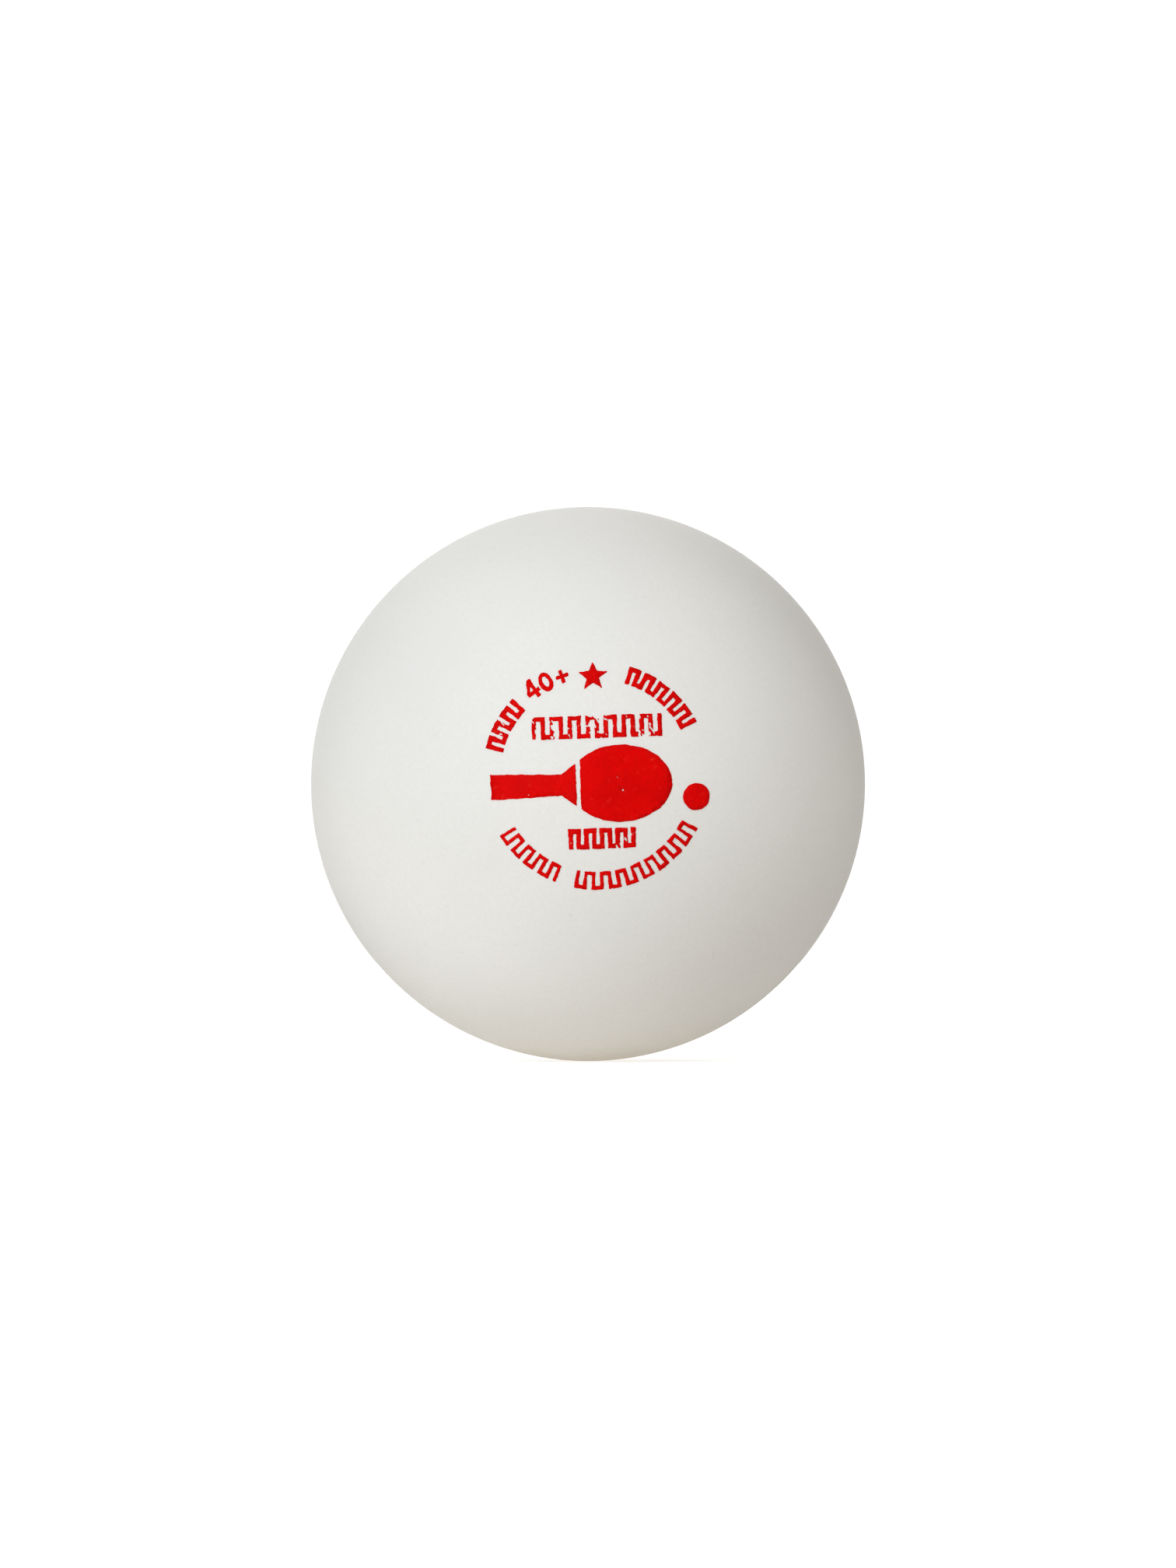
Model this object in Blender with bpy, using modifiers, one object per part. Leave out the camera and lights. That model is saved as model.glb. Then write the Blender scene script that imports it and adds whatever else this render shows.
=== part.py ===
"""Table tennis ball of the 40+ size: two half shells, the cement in their joint, and the printed ink.

Metres, +Z up, at real size. The origin is the centre of the ball. The print faces -Y, the seam lies in
the XZ plane, and nothing moves: the cemented ball is one rigid body.

Every piece is drawn in the ball's own axes and then turned by one empty. In those axes +Z is the pole
that the print surrounds, +X is to the right of the print and +Y is up the print.
"""
import math

import bmesh
import bpy
from mathutils import Matrix, Vector

# Driving dimensions of the shell and its joint
BALL_RADIUS = 0.02015
WALL = 0.0005
SEAM_WIDTH = 0.00012
LAP_LENGTH = 0.0014
LAP_THICKNESS = 0.00035
LAP_FILM = 0.00006
LAP_ROOT_LENGTH = 0.0012
LAP_ROOT_SLOPE = 0.0004
BEAD_LENGTH = 0.0005
BEAD_HEIGHT = 0.0003
CLEARANCE = 0.00001
SEAM_GROOVE = 0.00002
GATE_RADIUS = 0.0012
GATE_HEIGHT = 0.00015

# How finely the turned shapes are divided
SEGMENTS = 64
RINGS = 14
LAP_RINGS = 2

# The print: a flat picture pressed straight down on the pole
INK_THICKNESS = 0.00002
INK_GAP = 0.00002
STAMP_CENTRE = Vector((0.0006, 0.0006))
STAMP_TURN = math.radians(2)
INK_CELL = 0.0011

# Rim of the stamp: rows of marks between two circles, with their first and last angle in degrees
RING_INNER = 0.0069
RING_OUTER = 0.00815
RING_MIDDLE = (RING_INNER + RING_OUTER) / 2
RING_WORDS = (
    ("ink_ring_upper_left", 164.0, 135.5, 3, 0.00031),
    ("ink_ring_upper_right", 71.0, 26.5, 5, 0.00030),
    ("ink_ring_lower_left", 210.0, 247.0, 4, 0.00024),
    ("ink_ring_lower_right", 256.5, 330.5, 8, 0.00024),
)
STAR_CENTRE = Vector((0.0, 0.0071))
STAR_RADIUS = 0.00104
STAR_WAIST = 0.44

# The size mark: each character's angle in degrees and distance from the stamp's centre
CHARACTER_HEIGHT = 0.00140
CHARACTER_STROKE = 0.00028
PLUS_STROKE = 0.00023
CHARACTER_PLACES = (
    ("4", 124.8, 0.00770),
    ("0", 116.4, 0.00761),
    ("plus", 107.2, 0.00752),
)

# Proportions of those characters, in halves of their height
ZERO_HALF_WIDTH = 0.68
PLUS_ARM = 0.66
FOUR_LEFT = -0.72
FOUR_STEM = 0.02
FOUR_RIGHT = 0.70
FOUR_BAR = -0.55
FOUR_COUNTER_LEFT = -0.32
FOUR_COUNTER_TOP = 0.34

# Straight rows of marks: centre, length, height, waves and stroke
UPPER_ROW = (Vector((0.00015, 0.0035)), 0.0093, 0.0016, 7, 0.00030)
LOWER_ROW = (Vector((0.00025, -0.0045)), 0.0048, 0.00145, 4, 0.00032)

# The picture in the middle: a bat with its blade to the right, and a ball
BLADE_CENTRE = Vector((0.0017, -0.0006))
BLADE_SIZE = Vector((0.0074, 0.0055))
BLADE_CUT = 0.00285
NECK_GAP = 0.00032
NECK_LENGTH = 0.0010
NECK_HEIGHT = 0.0031
HANDLE_LENGTH = 0.0061
HANDLE_HEIGHT = 0.0015
HANDLE_END_HEIGHT = 0.0018
PICTURE_BALL_CENTRE = Vector((0.0071, -0.00175))
PICTURE_BALL_RADIUS = 0.00095

# How many points draw each curved outline
BLADE_POINTS = 28
PICTURE_BALL_POINTS = 24
ZERO_POINTS = 18
ZERO_HOLE_POINTS = 14

# Flat outlines are filled and cut in millimetres, with these tolerances
METRES_PER_MM = 0.001
MERGE_MM = 0.001
CUT_MM = 0.002
FLAT_ANGLE = 0.001


def start_scene():
    """Empty the file, and return the collection for the parts and the empty that turns them."""
    for old in list(bpy.data.objects):
        bpy.data.objects.remove(old, do_unlink=True)
    collection = bpy.data.collections.new("table_tennis_ball")
    bpy.context.scene.collection.children.link(collection)
    axes = bpy.data.objects.new("ball_axes", None)
    axes.rotation_euler = (math.pi / 2, 0.0, 0.0)
    collection.objects.link(axes)
    return collection, axes


def plain_material(name, color, roughness):
    """A plain plastic or ink."""
    material = bpy.data.materials.new(name)
    material.use_nodes = True
    shader = material.node_tree.nodes["Principled BSDF"]
    shader.inputs["Base Color"].default_value = (*color, 1.0)
    shader.inputs["Roughness"].default_value = roughness
    shader.inputs["Metallic"].default_value = 0.0
    return material


def add_part(ball, name, mesh, material):
    """Put a mesh in the ball as a named part with its own material."""
    collection, axes = ball
    part = bpy.data.objects.new(name, mesh)
    part.parent = axes
    mesh.materials.append(material)
    collection.objects.link(part)
    return part


# Turned shapes

def latitude(length):
    """The angle at the centre that a length along the outside of the ball takes up."""
    return length / BALL_RADIUS


def on_circle(radius, angle):
    """A point of a profile, as (distance from the axis, height above the seam)."""
    return radius * math.cos(angle), radius * math.sin(angle)


def arc(radius, first, last, steps):
    """Points of a profile from one latitude to another, both ends included."""
    return [on_circle(radius, first + (last - first) * i / steps) for i in range(steps + 1)]


def zoned_arc(radius, rim, lap_end, pole):
    """A half shell's arc from its rim to its pole, with a ring of points where the lap ends."""
    return arc(radius, rim, lap_end, LAP_RINGS) + arc(radius, lap_end, pole, RINGS)[1:]


def gate_mark(side):
    """The low disc that the mould's gate leaves inside a pole, from its rim to the axis."""
    inside = BALL_RADIUS - WALL
    height = inside - GATE_HEIGHT
    return [(GATE_RADIUS, side * height), (0.0, side * height)]


def turned(ball, name, profile, closed, material):
    """A profile turned once about the polar axis."""
    edges = [(i, i + 1) for i in range(len(profile) - 1)]
    if closed:
        edges.append((len(profile) - 1, 0))
    mesh = bpy.data.meshes.new(name)
    mesh.from_pydata([(r, 0.0, z) for r, z in profile], edges, [])
    part = add_part(ball, name, mesh, material)
    screw = part.modifiers.new("turn", "SCREW")
    screw.axis = "Z"
    screw.angle = 2 * math.pi
    screw.steps = SEGMENTS
    screw.render_steps = SEGMENTS
    screw.use_merge_vertices = True
    screw.merge_threshold = 0.000001
    screw.use_smooth_shade = True
    return part


def front_half_shell(ball, material):
    """The printed half: an even wall with a plain rim."""
    rim, lap_end = latitude(SEAM_WIDTH / 2), latitude(LAP_LENGTH)
    outside = zoned_arc(BALL_RADIUS, rim, lap_end, math.pi / 2)
    inside = zoned_arc(BALL_RADIUS - WALL, rim, lap_end, math.pi / 2)
    inside = [p for p in inside if p[0] > GATE_RADIUS] + gate_mark(1)
    return turned(ball, "front_half_shell", outside[::-1] + inside, False, material)


def rear_half_shell(ball, material):
    """The other half, with a lap ring inside its rim that reaches into the front half."""
    rim, lap_end = latitude(SEAM_WIDTH / 2), latitude(LAP_LENGTH)
    root, slope = latitude(LAP_ROOT_LENGTH), latitude(LAP_ROOT_SLOPE)
    inner = BALL_RADIUS - WALL
    lap_outer = inner - LAP_FILM
    lap_inner = lap_outer - LAP_THICKNESS
    outside = zoned_arc(BALL_RADIUS, -rim, -lap_end, -math.pi / 2)
    lap_outside = arc(lap_outer, -rim, rim, 1) + arc(lap_outer, rim, lap_end, LAP_RINGS)[1:]
    lap_inside = arc(lap_inner, lap_end, -root, 2 * LAP_RINGS)
    inside = arc(inner, -root - slope, -math.pi / 2, RINGS)
    inside = [p for p in inside if p[0] > GATE_RADIUS] + gate_mark(-1)
    profile = inside[::-1] + lap_inside[::-1] + lap_outside[::-1] + outside
    return turned(ball, "rear_half_shell", profile, False, material)


def seam_cement(ball, material):
    """Cement between the rims, round the outside of the lap ring, and as a bead past its end."""
    rim, lap_end = latitude(SEAM_WIDTH / 2 - CLEARANCE), latitude(LAP_LENGTH)
    shell_rim = latitude(SEAM_WIDTH / 2)
    groove = BALL_RADIUS - SEAM_GROOVE
    film_outer = BALL_RADIUS - WALL - CLEARANCE
    film_inner = BALL_RADIUS - WALL - LAP_FILM + CLEARANCE
    bead_start = lap_end + latitude(CLEARANCE)
    bead_end = lap_end + latitude(BEAD_LENGTH)
    outer_side = [
        on_circle(groove, rim),
        on_circle(film_outer, rim),
        *arc(film_outer, shell_rim, lap_end, LAP_RINGS),
        on_circle(film_outer - 2 * CLEARANCE, bead_end),
    ]
    inner_side = [
        on_circle(film_outer - BEAD_HEIGHT, bead_start + latitude(CLEARANCE)),
        on_circle(film_inner, bead_start),
        *arc(film_inner, lap_end, shell_rim, LAP_RINGS),
        on_circle(film_inner, -rim),
        on_circle(groove, -rim),
    ]
    profile = (outer_side + inner_side)[::-1]
    return turned(ball, "seam_cement", profile, True, material)


# Flat outlines of the print, in metres from the stamp's centre

def ellipse(centre, half_width, half_height, points, first=0.0, last=2 * math.pi):
    """Points of an ellipse, or of the part of one between two angles, without a repeated end."""
    whole = math.isclose(last - first, 2 * math.pi)
    steps = points if whole else points - 1
    angles = [first + (last - first) * i / steps for i in range(points)]
    return [centre + Vector((half_width * math.cos(a), half_height * math.sin(a))) for a in angles]


def fret(length, height, waves, stroke):
    """A square wave of one stroke's width, from (0, 0) to (length, height)."""
    uprights = 2 * waves + 1
    pitch = (length - stroke) / (uprights - 1)
    top, bottom = [], []
    for i in range(uprights):
        left = pitch * i
        right = left + stroke
        closed_above = i % 2 == 0
        if i > 0:
            top.append((left, height))
            bottom.append((left, 0.0))
        if i < uprights - 1:
            next_left = left + pitch
            if closed_above:
                bottom += [(right, 0.0), (right, height - stroke), (next_left, height - stroke)]
            else:
                top += [(right, height), (right, stroke), (next_left, stroke)]
    top = [(0.0, height)] + top + [(length, height)]
    bottom = [(0.0, 0.0)] + bottom + [(length, 0.0)]
    return [Vector(p) for p in bottom + top[::-1]]


def bent_row(first, last, waves, stroke):
    """A fret bent round the rim of the stamp. It reads clockwise above and anticlockwise below."""
    first, last = math.radians(first), math.radians(last)
    length = abs(last - first) * RING_MIDDLE
    turn = (last - first) / length
    points = []
    for p in fret(length, RING_OUTER - RING_INNER, waves, stroke):
        angle = first + p.x * turn
        points.append((RING_INNER + p.y) * Vector((math.cos(angle), math.sin(angle))))
    return points


def straight_row(centre, length, height, waves, stroke):
    """A fret along a straight line, about its centre."""
    corner = centre - Vector((length, height)) / 2
    return [corner + p for p in fret(length, height, waves, stroke)]


def star():
    """A star of five points, one of them up."""
    points = []
    for i in range(10):
        radius = STAR_RADIUS * (1.0 if i % 2 == 0 else STAR_WAIST)
        angle = math.pi / 2 + i * math.pi / 5
        points.append(STAR_CENTRE + radius * Vector((math.cos(angle), math.sin(angle))))
    return points


def character(name):
    """The loops of one character of the size mark, upright and about its own centre."""
    half, stroke = CHARACTER_HEIGHT / 2, CHARACTER_STROKE
    if name == "0":
        centre, width = Vector((0.0, 0.0)), ZERO_HALF_WIDTH * half
        hole = ellipse(centre, width - stroke, half - stroke, ZERO_HOLE_POINTS)
        return [ellipse(centre, width, half, ZERO_POINTS), hole]
    if name == "plus":
        arm, thick = PLUS_ARM * half, PLUS_STROKE / 2
        corner = [(arm, thick), (thick, thick), (thick, arm)]
        quarter_turns = [(1, 0, 0, 1), (0, -1, 1, 0), (-1, 0, 0, -1), (0, 1, -1, 0)]
        points = [(a * x + b * y, c * x + d * y) for a, b, c, d in quarter_turns for x, y in corner]
        return [[Vector(p) for p in points]]
    left, right = FOUR_LEFT * half, FOUR_RIGHT * half
    stem_left, bar_low = FOUR_STEM * half, FOUR_BAR * half
    stem_right, bar_high = stem_left + stroke, bar_low + stroke
    outline = [
        (stem_left, -half), (stem_right, -half), (stem_right, bar_low), (right, bar_low),
        (right, bar_high), (stem_right, bar_high), (stem_right, half), (stem_left, half),
        (left, bar_high), (left, bar_low), (stem_left, bar_low),
    ]
    counter = [
        (stem_left, bar_high), (stem_left, FOUR_COUNTER_TOP * half), (FOUR_COUNTER_LEFT * half, bar_high),
    ]
    return [[Vector(p) for p in outline], [Vector(p) for p in counter]]


def on_ring(loops, degrees, radius):
    """Loops about their own centre, set upright on a circle about the stamp's centre."""
    angle = math.radians(degrees)
    up = Vector((math.cos(angle), math.sin(angle)))
    right = Vector((up.y, -up.x))
    return [[radius * up + p.x * right + p.y * up for p in loop] for loop in loops]


def blade():
    """The bat's blade, cut off straight where the handle starts."""
    half = BLADE_SIZE / 2
    opening = math.acos(BLADE_CUT / half.x)
    return ellipse(BLADE_CENTRE, half.x, half.y, BLADE_POINTS, -math.pi + opening, math.pi - opening)


def handle():
    """The bat's handle, which widens a little towards its end and more towards the blade."""
    right = BLADE_CENTRE.x - BLADE_CUT - NECK_GAP
    left, neck = right - HANDLE_LENGTH, right - NECK_LENGTH
    half_heights = [(left, HANDLE_END_HEIGHT / 2), (neck, HANDLE_HEIGHT / 2), (right, NECK_HEIGHT / 2)]
    below = [(x, BLADE_CENTRE.y - half) for x, half in half_heights]
    above = [(x, BLADE_CENTRE.y + half) for x, half in half_heights]
    return [Vector(p) for p in below + above[::-1]]


# From a flat outline to a film of ink on the ball

def filled_outline(loops):
    """A flat mesh inside closed outlines, in millimetres, where an outline within another is a hole."""
    turn = Matrix.Rotation(STAMP_TURN, 2)
    curve = bpy.data.curves.new("outline", "CURVE")
    curve.dimensions = "2D"
    curve.fill_mode = "BOTH"
    for loop in loops:
        spline = curve.splines.new("POLY")
        spline.points.add(len(loop) - 1)
        for point, place in zip(spline.points, loop):
            x, y = (turn @ place + STAMP_CENTRE) / METRES_PER_MM
            point.co = (x, y, 0.0, 1.0)
        spline.use_cyclic_u = True
    guide = bpy.data.objects.new("outline", curve)
    bpy.context.scene.collection.objects.link(guide)
    filled = guide.evaluated_get(bpy.context.evaluated_depsgraph_get())
    mesh = bpy.data.meshes.new_from_object(filled)
    bpy.data.objects.remove(guide)
    return mesh


def cut_in_cells(shape):
    """Cut a flat shape along a square grid, so that it can follow the ball."""
    cell = INK_CELL / METRES_PER_MM
    for axis in (0, 1):
        low = min(v.co[axis] for v in shape.verts)
        high = max(v.co[axis] for v in shape.verts)
        normal = Vector((1.0 - axis, float(axis), 0.0))
        for line in range(math.ceil(low / cell), math.floor(high / cell) + 1):
            everything = shape.verts[:] + shape.edges[:] + shape.faces[:]
            bmesh.ops.bisect_plane(
                shape, geom=everything, dist=CUT_MM, plane_co=normal * cell * line, plane_no=normal)


def ink(ball, name, loops, material):
    """A film of ink in the shape of the loops, pressed straight down on the front half shell."""
    mesh = filled_outline(loops)
    mesh.name = name
    shape = bmesh.new()
    shape.from_mesh(mesh)
    bmesh.ops.remove_doubles(shape, verts=shape.verts[:], dist=MERGE_MM)
    bmesh.ops.dissolve_limit(shape, angle_limit=FLAT_ANGLE, verts=shape.verts[:], edges=shape.edges[:])
    cut_in_cells(shape)
    bmesh.ops.triangulate(shape, faces=shape.faces[:])
    if sum(face.normal.z for face in shape.faces) < 0:
        bmesh.ops.reverse_faces(shape, faces=shape.faces[:])
    under = BALL_RADIUS + INK_GAP
    for vertex in shape.verts:
        x, y = vertex.co.x * METRES_PER_MM, vertex.co.y * METRES_PER_MM
        vertex.co = (x, y, math.sqrt(under ** 2 - x ** 2 - y ** 2))
    shape.to_mesh(mesh)
    shape.free()
    part = add_part(ball, name, mesh, material)
    film = part.modifiers.new("film", "SOLIDIFY")
    film.thickness = INK_THICKNESS
    film.offset = 1.0
    return part


def print_on(ball, material):
    """Every deposit of ink in the print, as a part of its own."""
    ink(ball, "ink_star", [star()], material)
    for name, angle, radius in CHARACTER_PLACES:
        ink(ball, f"ink_size_{name}", on_ring(character(name), angle, radius), material)
    for name, first, last, waves, stroke in RING_WORDS:
        ink(ball, name, [bent_row(first, last, waves, stroke)], material)
    ink(ball, "ink_row_upper", [straight_row(*UPPER_ROW)], material)
    ink(ball, "ink_row_lower", [straight_row(*LOWER_ROW)], material)
    ink(ball, "ink_bat_blade", [blade()], material)
    ink(ball, "ink_bat_handle", [handle()], material)
    picture_ball = ellipse(
        PICTURE_BALL_CENTRE, PICTURE_BALL_RADIUS, PICTURE_BALL_RADIUS, PICTURE_BALL_POINTS)
    ink(ball, "ink_picture_ball", [picture_ball], material)


def build():
    """The whole ball."""
    ball = start_scene()
    front_half_shell(ball, plain_material("shell_front", (0.80, 0.80, 0.78), 0.62))
    rear_half_shell(ball, plain_material("shell_rear", (0.80, 0.80, 0.78), 0.62))
    seam_cement(ball, plain_material("cement", (0.74, 0.72, 0.66), 0.45))
    print_on(ball, plain_material("red_ink", (0.70, 0.010, 0.005), 0.5))


build()
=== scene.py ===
"""Table tennis ball: fine shells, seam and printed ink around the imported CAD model, in a white studio.

Metres, +Z up. The ball's centre is the origin, the print faces -Y and the seam lies in the XZ plane.
"""
import math

import bmesh
import bpy
import numpy as np
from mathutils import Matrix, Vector, noise


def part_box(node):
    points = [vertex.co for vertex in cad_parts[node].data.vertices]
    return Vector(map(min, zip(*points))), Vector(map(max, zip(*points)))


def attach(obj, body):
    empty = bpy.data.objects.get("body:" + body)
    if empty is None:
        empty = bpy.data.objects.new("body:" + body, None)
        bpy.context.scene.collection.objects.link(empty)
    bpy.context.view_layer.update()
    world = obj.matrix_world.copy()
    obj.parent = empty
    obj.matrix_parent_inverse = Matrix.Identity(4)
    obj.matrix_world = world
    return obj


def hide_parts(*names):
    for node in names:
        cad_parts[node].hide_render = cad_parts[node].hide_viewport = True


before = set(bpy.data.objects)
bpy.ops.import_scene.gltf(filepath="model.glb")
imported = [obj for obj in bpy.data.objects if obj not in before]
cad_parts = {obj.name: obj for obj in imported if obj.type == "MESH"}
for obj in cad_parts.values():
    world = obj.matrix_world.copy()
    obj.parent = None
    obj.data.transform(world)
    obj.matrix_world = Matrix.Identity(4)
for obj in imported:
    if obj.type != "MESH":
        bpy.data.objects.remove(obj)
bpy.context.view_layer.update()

BODY = "root"
MM = 0.001

# The ball, from the CAD's own half shells
SHELL_LOW, SHELL_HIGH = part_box("rear_half_shell")
BALL_RADIUS = SHELL_HIGH.x
SEAM_HALF_WIDTH = -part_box("front_half_shell")[1].y
LAP_LENGTH = -SHELL_LOW.y
WALL = 0.5 * MM
LAP_FILM = 0.06 * MM
LAP_THICKNESS = 0.35 * MM
LAP_ROOT_LENGTH = 1.2 * MM
LAP_ROOT_SLOPE = 0.4 * MM
BEAD_LENGTH = 0.5 * MM
BEAD_HEIGHT = 0.3 * MM
CLEARANCE = 0.01 * MM
SEAM_GROOVE = 0.02 * MM
RIM_ROUNDING = 0.035 * MM
GATE_RADIUS = 1.2 * MM
GATE_HEIGHT = 0.15 * MM
SEGMENTS = 192
OUTER_RINGS = 96
INNER_RINGS = 40
RIM_STEPS = 4
MERGE_DISTANCE = 1e-7
SHARP_ANGLE = math.radians(40)

# The shells' plastic: its shine, its colours, then the sizes, depths and shares of its unevenness
SHELL_SPECULAR = 0.22
SHELL_IOR = 1.53
SHELL_ROUGHNESS = (0.58, 0.72)
SHELL_WHITE = (0.868, 0.866, 0.850)
SHELL_CLOUD = (0.848, 0.850, 0.838)
SHELL_GRAIN = (0.828, 0.826, 0.806)
SHELL_SPECK = (0.70, 0.69, 0.66)
SHELL_GROUND = (0.84, 0.835, 0.81)
CLOUD_SIZE = 9 * MM
GRAIN_SIZE = 0.26 * MM
GRAIN_DEPTH = 0.016 * MM
GRAIN_SHARE = 0.6
GRAIN_SPAN = (0.25, 0.75)
SPECK_SIZE = 0.42 * MM
SPECK_SHARE = 0.25
SPECK_SPAN = (0.70, 0.80)
SPECK_SHIFT = 7.0
SWELL_SIZE = 2.6 * MM
SWELL_DEPTH = 0.012 * MM
REAR_SHIFT = 5.0

# The ground band along the seam
GROUND_REACH = (0.7 * MM, 1.5 * MM)
GROUND_SHARE = 0.35
GROUND_SHINE = 0.12
SANDING_SIZE = 0.9 * MM
SANDING_STRETCH = (1.0, 14.0, 1.0)
SANDING_DEPTH = 0.010 * MM

# The cement
CEMENT_SPECULAR = 0.4
CEMENT_ROUGHNESS = (0.32, 0.5)
CEMENT_PALE = (0.80, 0.78, 0.73)
CEMENT_YELLOW = (0.72, 0.70, 0.63)
PULL_SIZE = 0.6 * MM
PULL_DEPTH = 0.01 * MM

# The ink's colour
INK_SPECULAR = 0.03
INK_ROUGHNESS = (0.42, 0.60)
INK_RED = (0.80, 0.0015, 0.001)
INK_CLOUD = (0.70, 0.001, 0.001)
INK_DARK = (0.62, 0.001, 0.001)
INK_THIN = (0.88, 0.03, 0.015)
INK_CLOUD_SIZE = 1.6 * MM
INK_CLOUD_SPAN = (0.32, 0.68)
INK_CLOUD_DEPTH = 0.008 * MM
INK_GRAIN_SIZE = 0.16 * MM
INK_GRAIN_SPAN = (0.35, 0.70)
INK_GRAIN_DEPTH = 0.006 * MM
INK_GRAIN_SHIFT = 3.0
INK_THIN_SIZE = 0.5 * MM
INK_THIN_SPAN = (0.60, 0.80)
INK_THIN_SHIFT = 11.0
INK_SHARE = 0.5

# The middle of a noise's values, and the places of a colour mix's sockets
MIDDLE = (0.3, 0.7)
MIX_FIRST, MIX_SECOND, MIX_RESULT = 6, 7, 2

# The ink's shape, in millimetres across the print
INK_UNDER = BALL_RADIUS / MM + 0.012
INK_THICKNESS = 0.022 * MM
INK_GRID = 0.045
GRID_MARGIN = 4
CUT_MARGIN = 0.08
INK_CELL = 0.5
INK_MERGE = 0.002
FLAT_ANGLE = 0.001
CORNER_TURN = math.radians(24)
STRAIGHT_TURN = math.radians(2)
CURVE_STEP = 0.08
EDGE_WAVES = ((0.60, 0.040), (0.21, 0.034), (0.09, 0.014))
INK_GAIN = 0.010
WORN_NODES = {"ink_row_upper": 0.10, "ink_row_lower": 0.02, "ink_ring_upper_left": 0.015}
USUAL_WEAR = 0.001
PATCH_SIZE = 1.6
PATCH_SHARE = 0.6
PATCH_SEED = 9.1
SCUFF_SIZE = 0.20
SCUFF_SLANT = 0.7
SCUFF_STRETCH = 0.5
SCUFF_SEED = 3.7
SCUFF_DEPTH = 0.4
SEED_STEP = 10.0
SMALLEST = 1e-12

# The studio
LENS_DISTANCE = 1.2
BALL_SHARE_OF_HEIGHT = 0.1767
SENSOR = 36.0
CLIP_NEAR = 0.05
CLIP_FAR = 50.0
LIGHT_DISTANCE = 0.6
LIGHT_SIZE = 0.5
SOFTBOXES = (
    ("softbox_key", -30, 20, 2.30, (0.954, 0.983, 1.0)),
    ("softbox_side", -120, 45, 0.95, (1.0, 0.985, 0.960)),
    ("softbox_fill", 55, 50, 1.62, (1.0, 0.960, 0.905)),
    ("softbox_back", -177, 20, 1.50, (1.0, 0.985, 0.950)),
)
AMBIENT = 0.05
BACKGROUND = 1.1
FLOOR_ROUGHNESS = 0.9
FLOOR_COLOR = (0.80, 0.80, 0.80, 1.0)
# Painted fill light from the floor, which the ball sees: warmer and stronger on the left, dimmer on the
# right, strongest just under the ball
FLOOR_GLOW_LEFT = (0.190, 0.168, 0.132)
FLOOR_GLOW_RIGHT = (0.066, 0.046, 0.024)
FLOOR_GLOW_REACH = 0.05
FLOOR_GLOW_UNDER = (0.275, 0.245, 0.205)
FLOOR_UNDER_REACH = (0.006, 0.014)
# Painted glow seen only by the camera, which whitens the floor: weaker near the ball and full from 0.4 m
# out, so that the contact shadow still shows
FLOOR_CAMERA_GLOW = (0.58, 1.00)
FLOOR_CAMERA_GLOW_REACH = (0.10, 0.40)
FLOOR_SIZE = 6.0
FLOOR_CELLS = 8


# Materials

class Nodes:
    """Short ways to add and join the nodes of one material."""

    def __init__(self, name):
        self.material = bpy.data.materials.new(name)
        self.material.use_nodes = True
        self.tree = self.material.node_tree
        self.shader = self.tree.nodes["Principled BSDF"]
        self.place = self.add("ShaderNodeTexCoord").outputs["Object"]

    def add(self, kind, **settings):
        node = self.tree.nodes.new(kind)
        for name, value in settings.items():
            setattr(node, name, value)
        return node

    def join(self, source, target):
        self.tree.links.new(source, target)

    def noise(self, size, detail=2.0, stretch=(1.0, 1.0, 1.0), shift=0.0):
        """Noise whose grain is about this size in metres, longer along an axis with a low stretch."""
        scale = self.add("ShaderNodeMapping")
        scale.inputs["Scale"].default_value = [s / size for s in stretch]
        scale.inputs["Location"].default_value = (shift, shift, shift)
        self.join(self.place, scale.inputs["Vector"])
        grain = self.add("ShaderNodeTexNoise")
        grain.inputs["Scale"].default_value = 1.0
        grain.inputs["Detail"].default_value = detail
        self.join(scale.outputs["Vector"], grain.inputs["Vector"])
        return grain.outputs["Fac"]

    def ramp(self, value, low, high, to_low, to_high):
        """Map a value from one range to another, with smooth ends."""
        ramp = self.add("ShaderNodeMapRange", interpolation_type="SMOOTHSTEP")
        ramp.inputs["From Min"].default_value = low
        ramp.inputs["From Max"].default_value = high
        ramp.inputs["To Min"].default_value = to_low
        ramp.inputs["To Max"].default_value = to_high
        self.join(value, ramp.inputs["Value"])
        return ramp.outputs["Result"]

    def math(self, operation, first, second):
        node = self.add("ShaderNodeMath", operation=operation)
        for socket, value in zip(node.inputs, (first, second)):
            if isinstance(value, (int, float)):
                socket.default_value = value
            else:
                self.join(value, socket)
        return node.outputs["Value"]

    def mix(self, factor, first, second):
        """Mix two colours, each a tuple or another node's colour."""
        node = self.add("ShaderNodeMix", data_type="RGBA")
        self.join(factor, node.inputs["Factor"])
        for socket, value in ((node.inputs[MIX_FIRST], first), (node.inputs[MIX_SECOND], second)):
            if isinstance(value, tuple):
                socket.default_value = (*value, 1.0)
            else:
                self.join(value, socket)
        return node.outputs[MIX_RESULT]

    def tint(self, grain, span, share, color, other):
        """A colour that turns by a share towards another as a noise rises through a span."""
        return self.mix(self.ramp(grain, *span, 0.0, share), color, other)

    def bump(self, height, distance, before=None):
        node = self.add("ShaderNodeBump")
        node.inputs["Strength"].default_value = 1.0
        node.inputs["Distance"].default_value = distance
        self.join(height, node.inputs["Height"])
        if before is not None:
            self.join(before, node.inputs["Normal"])
        return node.outputs["Normal"]

    def finish(self, color, roughness, normal):
        self.join(color, self.shader.inputs["Base Color"])
        self.join(roughness, self.shader.inputs["Roughness"])
        self.join(normal, self.shader.inputs["Normal"])
        return self.material


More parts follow.
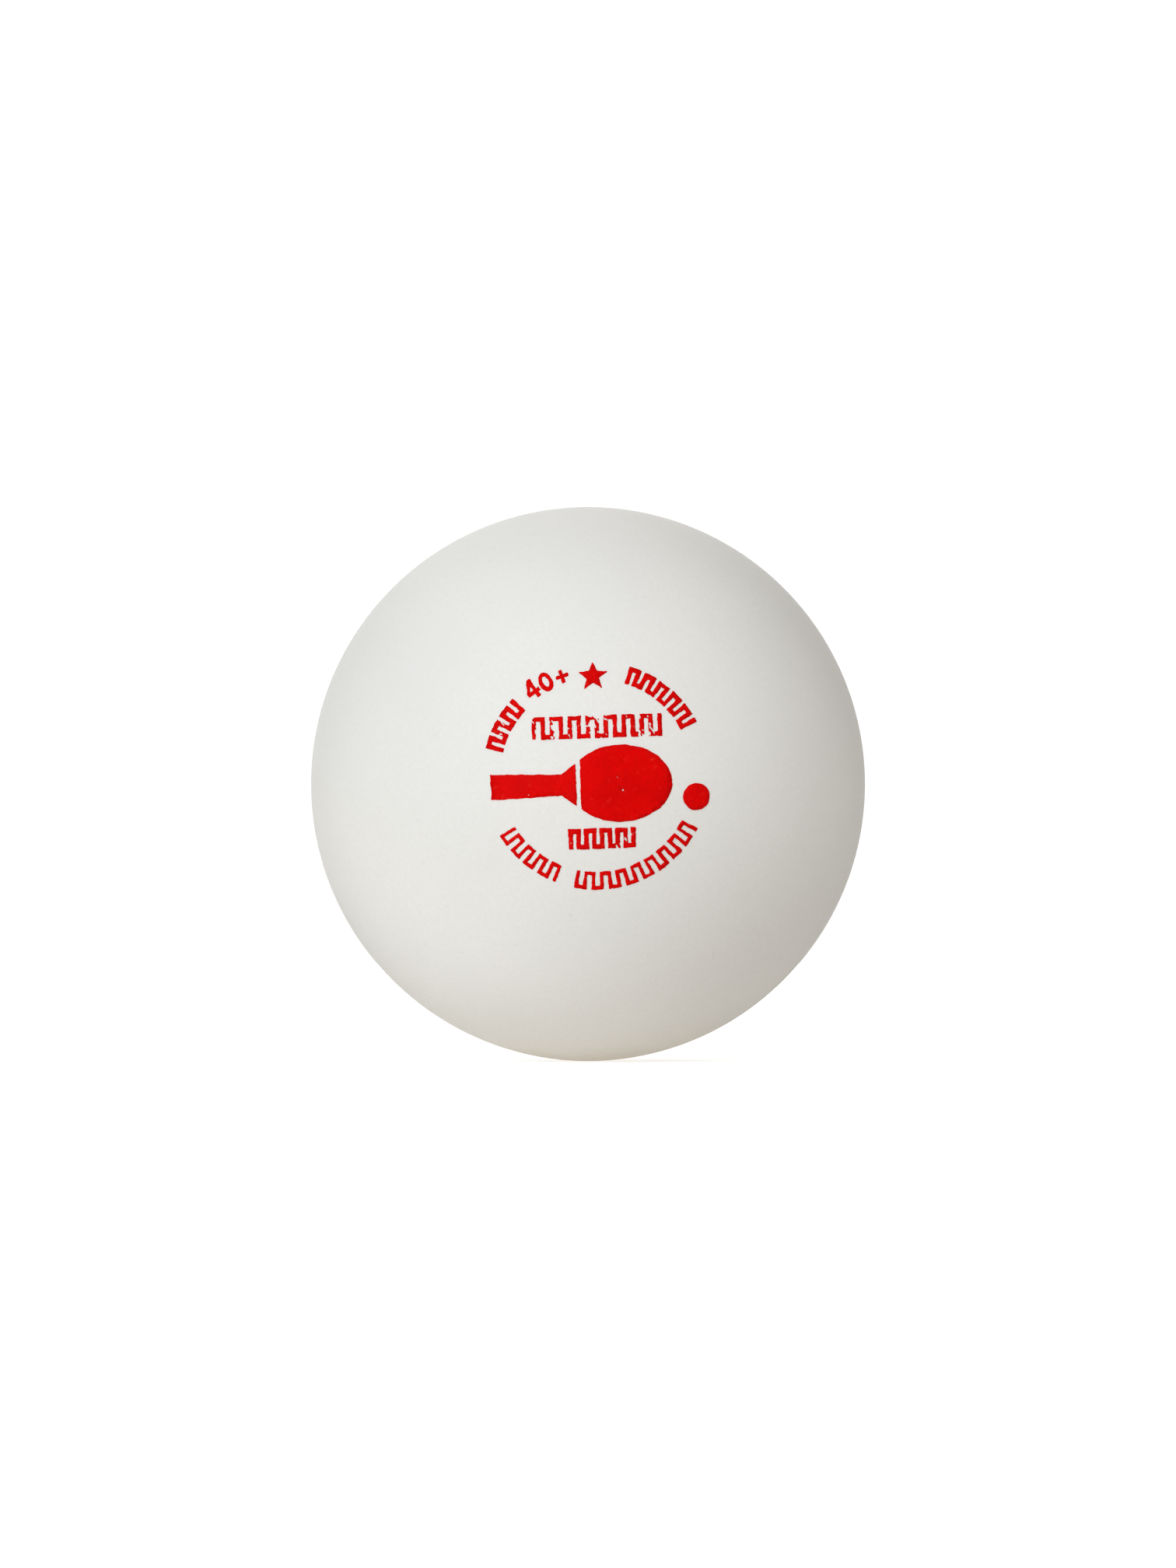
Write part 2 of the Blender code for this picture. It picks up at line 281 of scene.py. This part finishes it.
def shell_plastic(name, shift):
    """Matt tumbled ABS: almost white, a fine even grain, and a narrow ground band along the seam."""
    nodes = Nodes(name)
    nodes.shader.inputs["Specular IOR Level"].default_value = SHELL_SPECULAR
    nodes.shader.inputs["IOR"].default_value = SHELL_IOR
    across = nodes.add("ShaderNodeSeparateXYZ")
    nodes.join(nodes.place, across.inputs["Vector"])
    off_seam = nodes.math("ABSOLUTE", across.outputs["Y"], 0.0)
    band = nodes.ramp(off_seam, *GROUND_REACH, 1.0, 0.0)
    cloud = nodes.noise(CLOUD_SIZE, 3.0, shift=shift)
    grain = nodes.noise(GRAIN_SIZE, 3.0, shift=shift)
    speck = nodes.noise(SPECK_SIZE, 1.0, shift=shift + SPECK_SHIFT)
    color = nodes.tint(cloud, MIDDLE, 1.0, SHELL_WHITE, SHELL_CLOUD)
    color = nodes.tint(grain, MIDDLE, GRAIN_SHARE, color, SHELL_GRAIN)
    color = nodes.tint(speck, SPECK_SPAN, SPECK_SHARE, color, SHELL_SPECK)
    color = nodes.mix(nodes.math("MULTIPLY", band, GROUND_SHARE), color, SHELL_GROUND)
    matt = nodes.ramp(grain, *GRAIN_SPAN, *SHELL_ROUGHNESS)
    roughness = nodes.math("SUBTRACT", matt, nodes.math("MULTIPLY", band, GROUND_SHINE))
    sanding = nodes.noise(SANDING_SIZE, 2.0, stretch=SANDING_STRETCH, shift=shift)
    lines = nodes.math("MULTIPLY", sanding, band)
    normal = nodes.bump(nodes.noise(SWELL_SIZE, 2.0, shift=shift), SWELL_DEPTH)
    normal = nodes.bump(grain, GRAIN_DEPTH, normal)
    normal = nodes.bump(lines, SANDING_DEPTH, normal)
    return nodes.finish(color, roughness, normal)


def cement():
    """Solvent cement: a little yellower and glossier than the shell, with small pulls along it."""
    nodes = Nodes("cement")
    nodes.shader.inputs["Specular IOR Level"].default_value = CEMENT_SPECULAR
    along = nodes.noise(PULL_SIZE, 3.0)
    color = nodes.tint(along, MIDDLE, 1.0, CEMENT_PALE, CEMENT_YELLOW)
    roughness = nodes.ramp(along, *MIDDLE, *CEMENT_ROUGHNESS)
    return nodes.finish(color, roughness, nodes.bump(along, PULL_DEPTH))


def red_ink():
    """Pad-printing ink: one pass of red, cloudier where the pad left less of it."""
    nodes = Nodes("red_ink")
    nodes.shader.inputs["Specular IOR Level"].default_value = INK_SPECULAR
    cloud = nodes.noise(INK_CLOUD_SIZE, 3.0)
    grain = nodes.noise(INK_GRAIN_SIZE, 3.0, shift=INK_GRAIN_SHIFT)
    thin = nodes.noise(INK_THIN_SIZE, 2.0, shift=INK_THIN_SHIFT)
    color = nodes.tint(cloud, INK_CLOUD_SPAN, 1.0, INK_RED, INK_CLOUD)
    color = nodes.tint(grain, INK_GRAIN_SPAN, INK_SHARE, color, INK_DARK)
    color = nodes.tint(thin, INK_THIN_SPAN, INK_SHARE, color, INK_THIN)
    roughness = nodes.ramp(grain, *MIDDLE, *INK_ROUGHNESS)
    normal = nodes.bump(grain, INK_GRAIN_DEPTH)
    normal = nodes.bump(cloud, INK_CLOUD_DEPTH, normal)
    return nodes.finish(color, roughness, normal)


def glowing_floor_paper():
    """Pale paper whose emission is painted light: a glow hidden from the camera lights the ball from
    below, and a glow seen only by the camera makes the floor look white.
    """
    nodes = Nodes("glowing_floor_paper")
    nodes.shader.inputs["Roughness"].default_value = FLOOR_ROUGHNESS
    nodes.shader.inputs["Specular IOR Level"].default_value = 0.0
    nodes.shader.inputs["Base Color"].default_value = FLOOR_COLOR
    distance = nodes.add("ShaderNodeVectorMath", operation="LENGTH")
    nodes.join(nodes.place, distance.inputs[0])
    # Painted glow for the camera, weaker near the ball so that the contact shadow shows
    camera_glow = nodes.ramp(distance.outputs["Value"], *FLOOR_CAMERA_GLOW_REACH, *FLOOR_CAMERA_GLOW)
    across = nodes.add("ShaderNodeSeparateXYZ")
    nodes.join(nodes.place, across.inputs["Vector"])
    # Painted fill glow that lights the ball: warm on the left, dim on the right, strongest just under
    # the ball
    rightwards = nodes.ramp(across.outputs["X"], -FLOOR_GLOW_REACH, FLOOR_GLOW_REACH, 0.0, 1.0)
    glow = nodes.mix(rightwards, FLOOR_GLOW_LEFT, FLOOR_GLOW_RIGHT)
    beyond = nodes.ramp(distance.outputs["Value"], *FLOOR_UNDER_REACH, 0.0, 1.0)
    glow = nodes.mix(beyond, FLOOR_GLOW_UNDER, glow)
    # The camera sees the painted white glow, and everything else sees the painted fill glow
    seen = nodes.add("ShaderNodeLightPath").outputs["Is Camera Ray"]
    nodes.join(nodes.mix(seen, glow, camera_glow), nodes.shader.inputs["Emission Color"])
    nodes.shader.inputs["Emission Strength"].default_value = 1.0
    return nodes.material


# Pieces

def add_piece(name, mesh, material, slot, *nodes):
    """Put a mesh in the scene as a piece of the ball that stands for some CAD nodes."""
    piece = bpy.data.objects.new(name, mesh)
    bpy.context.scene.collection.objects.link(piece)
    mesh.materials.append(material)
    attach(piece, BODY)
    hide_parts(*nodes)
    return piece


def latitude(length):
    """The angle at the centre that a length along the outside of the ball takes up."""
    return length / BALL_RADIUS


def on_circle(radius, angle):
    """A point of a profile, as (distance from the axis, height above the seam)."""
    return radius * math.cos(angle), radius * math.sin(angle)


def arc(radius, first, last, steps):
    """Points of a profile from one latitude to another, both ends included."""
    return [on_circle(radius, first + (last - first) * i / steps) for i in range(steps + 1)]


def rounded_rim(side):
    """The outer edge of a half shell's rim, from its face round to the outside of the ball."""
    seam = latitude(SEAM_HALF_WIDTH)
    turn = latitude(RIM_ROUNDING)
    points = []
    for i in range(RIM_STEPS + 1):
        angle = math.pi / 2 * i / RIM_STEPS
        radius = BALL_RADIUS - RIM_ROUNDING * (1 - math.sin(angle))
        points.append(on_circle(radius, side * (seam + turn * (1 - math.cos(angle)))))
    return points


def outside(side):
    """A half shell's outside, from its rim to its pole."""
    start = latitude(SEAM_HALF_WIDTH) + latitude(RIM_ROUNDING)
    return rounded_rim(side) + arc(BALL_RADIUS, side * start, side * math.pi / 2, OUTER_RINGS)[1:]


def inside(side, start):
    """A half shell's inside, from a latitude to the gate's mark at the pole."""
    radius = BALL_RADIUS - WALL
    points = arc(radius, start, side * math.pi / 2, INNER_RINGS)
    points = [p for p in points if p[0] > GATE_RADIUS + GATE_HEIGHT]
    foot = GATE_RADIUS + GATE_HEIGHT
    mark = side * (radius - GATE_HEIGHT)
    return points + [(foot, side * math.sqrt(radius**2 - foot**2)), (GATE_RADIUS, mark), (0.0, mark)]


def turned(name, profile, closed):
    """A profile turned about the ball's Y axis, with its height measured towards the print at -Y."""
    points = [(r, -z, 0.0) for r, z in profile]
    edges = [(i, i + 1) for i in range(len(points) - 1)]
    if closed:
        edges.append((len(points) - 1, 0))
    mesh = bpy.data.meshes.new(name)
    mesh.from_pydata(points, edges, [])
    shape = bmesh.new()
    shape.from_mesh(mesh)
    bmesh.ops.spin(
        shape, geom=shape.verts[:] + shape.edges[:], cent=(0, 0, 0), axis=(0, 1, 0),
        angle=2 * math.pi, steps=SEGMENTS, use_merge=True, use_normal_flip=False)
    bmesh.ops.remove_doubles(shape, verts=shape.verts[:], dist=MERGE_DISTANCE)
    bmesh.ops.recalc_face_normals(shape, faces=shape.faces[:])
    shape.to_mesh(mesh)
    shape.free()
    mesh.shade_smooth()
    mesh.set_sharp_from_angle(angle=SHARP_ANGLE)
    return mesh


def front_shell():
    """The printed half, with an even wall and a plain rim."""
    profile = outside(1)[::-1] + inside(1, latitude(SEAM_HALF_WIDTH))
    mesh = turned("front_shell", profile, False)
    plastic = shell_plastic("shell_front", 0.0)
    add_piece("front_shell", mesh, plastic, "shell_front", "front_half_shell")


def rear_shell():
    """The other half, with the lap ring inside its rim."""
    rim, lap_end = latitude(SEAM_HALF_WIDTH), latitude(LAP_LENGTH)
    lap_outer = BALL_RADIUS - WALL - LAP_FILM
    lap_inner = lap_outer - LAP_THICKNESS
    root = latitude(LAP_ROOT_LENGTH)
    lap = arc(lap_inner, -root, lap_end, 2 * RIM_STEPS) + arc(lap_outer, lap_end, -rim, 2 * RIM_STEPS)
    profile = inside(-1, -root - latitude(LAP_ROOT_SLOPE))[::-1] + lap + outside(-1)
    mesh = turned("rear_shell", profile, False)
    plastic = shell_plastic("shell_rear", REAR_SHIFT)
    add_piece("rear_shell", mesh, plastic, "shell_rear", "rear_half_shell")


def seam_line():
    """The cement: a hairline outside, a film round the lap ring, and a bead past its end."""
    edge = latitude(SEAM_HALF_WIDTH - CLEARANCE)
    rim, lap_end = latitude(SEAM_HALF_WIDTH), latitude(LAP_LENGTH)
    groove = BALL_RADIUS - SEAM_GROOVE
    film_outer = BALL_RADIUS - WALL - CLEARANCE
    film_inner = BALL_RADIUS - WALL - LAP_FILM + CLEARANCE
    bead_start, bead_end = lap_end + latitude(CLEARANCE), lap_end + latitude(BEAD_LENGTH)
    profile = [on_circle(groove, edge), on_circle(film_outer, edge)]
    profile += arc(film_outer, rim, lap_end, RIM_STEPS)
    profile.append(on_circle(film_outer - CLEARANCE, bead_end))
    profile.append(on_circle(film_outer - BEAD_HEIGHT, bead_start + latitude(CLEARANCE)))
    profile.append(on_circle(film_inner, bead_start))
    profile += arc(film_inner, lap_end, rim, RIM_STEPS)
    profile += [on_circle(film_inner, -edge), on_circle(groove, -edge)]
    add_piece("seam_line", turned("seam_line", profile, True), cement(), "cement", "seam_cement")


# The printed ink

def outline_loops(node):
    """The closed outlines of a CAD film of ink, seen along the print's axis, in millimetres."""
    shape = bmesh.new()
    shape.from_mesh(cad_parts[node].data)
    bmesh.ops.remove_doubles(shape, verts=shape.verts[:], dist=MERGE_DISTANCE)
    middle = sum(v.co.length for v in shape.verts) / len(shape.verts)
    top = {f for f in shape.faces if min(v.co.length for v in f.verts) > middle}
    following = {}
    for face in top:
        for loop in face.loops:
            neighbours = [f for f in loop.edge.link_faces if f is not face]
            if not any(f in top for f in neighbours):
                following[loop.vert] = loop.link_loop_next.vert
    loops = []
    while following:
        vertex = next(iter(following))
        loop = []
        while vertex in following:
            loop.append((vertex.co.x / MM, vertex.co.z / MM))
            vertex = following.pop(vertex)
        loops.append(loop)
    shape.free()
    return loops


def turn_at(before, here, after):
    """How far an outline turns at a point."""
    first, second = here - before, after - here
    return abs(math.atan2(first.x * second.y - first.y * second.x, first.dot(second)))


def without_straight_points(loop):
    """An outline without the points that lie along a straight run."""
    points = [Vector(p) for p in loop]
    count = len(points)
    return [
        p for i, p in enumerate(points)
        if turn_at(points[i - 1], p, points[(i + 1) % count]) > STRAIGHT_TURN
    ]


def curved(loop):
    """An outline with its gentle turns drawn as curves and its corners kept."""
    points = without_straight_points(loop)
    count = len(points)
    result = []
    for i, start in enumerate(points):
        before, end, after = points[i - 1], points[(i + 1) % count], points[(i + 2) % count]
        chord = end - start
        leave = arrive = chord
        if turn_at(before, start, end) < CORNER_TURN:
            leave = (end - before).normalized() * chord.length
        if turn_at(start, end, after) < CORNER_TURN:
            arrive = (after - start).normalized() * chord.length
        steps = max(1, round(chord.length / CURVE_STEP))
        for k in range(steps):
            t = k / steps
            place = start * (2 * t**3 - 3 * t**2 + 1) + end * (3 * t**2 - 2 * t**3)
            result.append(place + leave * (t**3 - 2 * t**2 + t) + arrive * (t**3 - t**2))
    return np.array(result)


def distance_inside(loops, x, y):
    """How far each point is inside the outlines, or how far outside them as a negative number."""
    nearest = np.full(x.shape, np.inf)
    inside_count = np.zeros(x.shape, int)
    for loop in loops:
        for start, end in zip(loop, np.roll(loop, -1, axis=0)):
            side = end - start
            share = ((x - start[0]) * side[0] + (y - start[1]) * side[1]) / max(side @ side, SMALLEST)
            share = np.clip(share, 0.0, 1.0)
            away = np.hypot(x - start[0] - share * side[0], y - start[1] - share * side[1])
            nearest = np.minimum(nearest, away)
            crosses = (start[1] > y) != (end[1] > y)
            reach = start[0] + (y - start[1]) * side[0] / (side[1] if side[1] else SMALLEST)
            inside_count += crosses & (x < reach)
    return np.where(inside_count % 2 == 1, nearest, -nearest)


def noise_field(x, y, size, seed):
    """Smooth noise between about -1 and 1 at each point."""
    flat = [noise.noise((a / size, b / size, seed)) for a, b in zip(x.ravel(), y.ravel())]
    return np.array(flat).reshape(x.shape)


def ink_field(node, seed):
    """A grid over one deposit of ink, positive where there is ink: its outline, made ragged and worn."""
    loops = [curved(loop) for loop in outline_loops(node)]
    corners = np.concatenate(loops)
    margin = GRID_MARGIN * INK_GRID
    low, high = corners.min(0) - margin, corners.max(0) + margin
    columns = np.arange(low[0], high[0], INK_GRID)
    rows = np.arange(low[1], high[1], INK_GRID)
    x, y = np.meshgrid(columns, rows)
    field = distance_inside(loops, x, y) + INK_GAIN
    for size, depth in EDGE_WAVES:
        field += depth * noise_field(x, y, size, seed + size)
    share = WORN_NODES.get(node, USUAL_WEAR)
    patch = noise_field(x, y, PATCH_SIZE, seed + PATCH_SEED)
    along, across = x + SCUFF_SLANT * y, SCUFF_STRETCH * (y - SCUFF_SLANT * x)
    scuff = noise_field(along, across, SCUFF_SIZE, seed + SCUFF_SEED) + PATCH_SHARE * patch
    inked = scuff[field > 0]
    worn = scuff - np.quantile(inked, 1.0 - share)
    return x, y, np.minimum(field, -SCUFF_DEPTH * worn)


def filled_mesh(x, y, field):
    """A flat mesh of the part of a grid where the field is positive, cut between grid points."""
    shape = bmesh.new()
    made = {}

    def point(key, a, b):
        if key not in made:
            made[key] = shape.verts.new((a, 0.0, b))
        return made[key]

    rows, columns = field.shape
    for r in range(rows - 1):
        for c in range(columns - 1):
            cell = ((r, c), (r, c + 1), (r + 1, c + 1), (r + 1, c))
            values = [field[p] for p in cell]
            if max(values) <= 0:
                continue
            around = []
            for i, (p, value) in enumerate(zip(cell, values)):
                q, next_value = cell[(i + 1) % 4], values[(i + 1) % 4]
                if value > 0:
                    around.append(point((p, p), x[p], y[p]))
                if (value > 0) != (next_value > 0):
                    share = min(1 - CUT_MARGIN, max(CUT_MARGIN, value / (value - next_value)))
                    place = (x[p] + share * (x[q] - x[p]), y[p] + share * (y[q] - y[p]))
                    around.append(point((min(p, q), max(p, q)), *place))
            if len(around) > 2:
                shape.faces.new(around)
    shape.normal_update()
    return shape


def join_in_cells(shape):
    """Join a flat shape's small faces within each cell of a coarser grid, so it can follow the ball."""
    cells = {}
    for edge in shape.edges:
        middles = [face.calc_center_median() / INK_CELL for face in edge.link_faces]
        places = {(math.floor(m.x), math.floor(m.z)) for m in middles}
        if len(middles) == 2 and len(places) == 1:
            cells.setdefault(places.pop(), []).append(edge)
    for edges in cells.values():
        bmesh.ops.dissolve_limit(shape, angle_limit=FLAT_ANGLE, edges=edges)
    bmesh.ops.dissolve_limit(shape, angle_limit=FLAT_ANGLE, verts=shape.verts[:])
    bmesh.ops.remove_doubles(shape, verts=shape.verts[:], dist=INK_MERGE)
    bmesh.ops.triangulate(shape, faces=shape.faces[:])


def wrap_on_ball(shape):
    """Press a flat shape, drawn in millimetres, straight down on the ball."""
    for vertex in shape.verts:
        x, z = vertex.co.x, vertex.co.z
        vertex.co = Vector((x, -math.sqrt(INK_UNDER**2 - x**2 - z**2), z)) * MM
    bmesh.ops.recalc_face_normals(shape, faces=shape.faces[:])
    if sum(face.normal.y for face in shape.faces) > 0:
        bmesh.ops.reverse_faces(shape, faces=shape.faces[:])


def ink_piece(node, seed, material):
    """One deposit of ink, with the outline of its CAD node."""
    shape = filled_mesh(*ink_field(node, seed))
    join_in_cells(shape)
    wrap_on_ball(shape)
    name = node.replace("ink_", "print_")
    mesh = bpy.data.meshes.new(name)
    shape.to_mesh(mesh)
    shape.free()
    mesh.shade_smooth()
    piece = add_piece(name, mesh, material, "red_ink", node)
    film = piece.modifiers.new("film", "SOLIDIFY")
    film.thickness = INK_THICKNESS
    film.offset = 1.0


def printed_stamp():
    """Every deposit of ink of the print."""
    material = red_ink()
    for number, node in enumerate(sorted(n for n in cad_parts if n.startswith("ink_"))):
        ink_piece(node, SEED_STEP * number, material)


# The studio

def studio_floor():
    """A wide pale floor under the ball."""
    mesh = bpy.data.meshes.new("floor")
    shape = bmesh.new()
    bmesh.ops.create_grid(shape, x_segments=FLOOR_CELLS, y_segments=FLOOR_CELLS, size=FLOOR_SIZE / 2)
    shape.to_mesh(mesh)
    shape.free()
    mesh.materials.append(glowing_floor_paper())
    floor = bpy.data.objects.new("floor", mesh)
    floor.location.z = -BALL_RADIUS
    bpy.context.scene.collection.objects.link(floor)


def softbox(name, azimuth, elevation, power, color):
    """A large square light aimed at the ball. Azimuth 0 is on the printed side, and 90 is at +X."""
    a, e = math.radians(azimuth), math.radians(elevation)
    towards = Vector((math.sin(a) * math.cos(e), -math.cos(a) * math.cos(e), math.sin(e)))
    light = bpy.data.lights.new(name, "AREA")
    light.shape = "SQUARE"
    light.size = LIGHT_SIZE
    light.energy = power
    light.color = color
    lamp = bpy.data.objects.new(name, light)
    lamp.location = towards * LIGHT_DISTANCE
    lamp.rotation_euler = (-towards).to_track_quat("-Z", "Y").to_euler()
    lamp.visible_camera = False
    bpy.context.scene.collection.objects.link(lamp)


def white_surroundings():
    """A white background, which lights the ball only a little."""
    world = bpy.data.worlds.new("white_surroundings")
    bpy.context.scene.world = world
    world.use_nodes = True
    tree = world.node_tree
    background = tree.nodes["Background"]
    background.inputs["Color"].default_value = (1.0, 1.0, 1.0, 1.0)
    seen = tree.nodes.new("ShaderNodeLightPath").outputs["Is Camera Ray"]
    strength = tree.nodes.new("ShaderNodeMapRange")
    strength.inputs["To Min"].default_value = AMBIENT
    strength.inputs["To Max"].default_value = BACKGROUND
    tree.links.new(seen, strength.inputs["Value"])
    tree.links.new(strength.outputs["Result"], background.inputs["Strength"])


def camera():
    """Level with the ball's centre and square to the print, from far enough to look almost flat."""
    data = bpy.data.cameras.new("camera")
    data.sensor_width = SENSOR
    half_angle = math.asin(BALL_RADIUS / LENS_DISTANCE)
    data.lens = SENSOR * BALL_SHARE_OF_HEIGHT / math.tan(half_angle)
    data.clip_start = CLIP_NEAR
    data.clip_end = CLIP_FAR
    lens = bpy.data.objects.new("camera", data)
    lens.location = (0.0, -LENS_DISTANCE, 0.0)
    lens.rotation_euler = (math.pi / 2, 0.0, 0.0)
    bpy.context.scene.collection.objects.link(lens)
    bpy.context.scene.camera = lens


camera()
front_shell()
rear_shell()
seam_line()
printed_stamp()
studio_floor()
for settings in SOFTBOXES:
    softbox(*settings)
white_surroundings()
bpy.context.scene.view_settings.view_transform = "Standard"
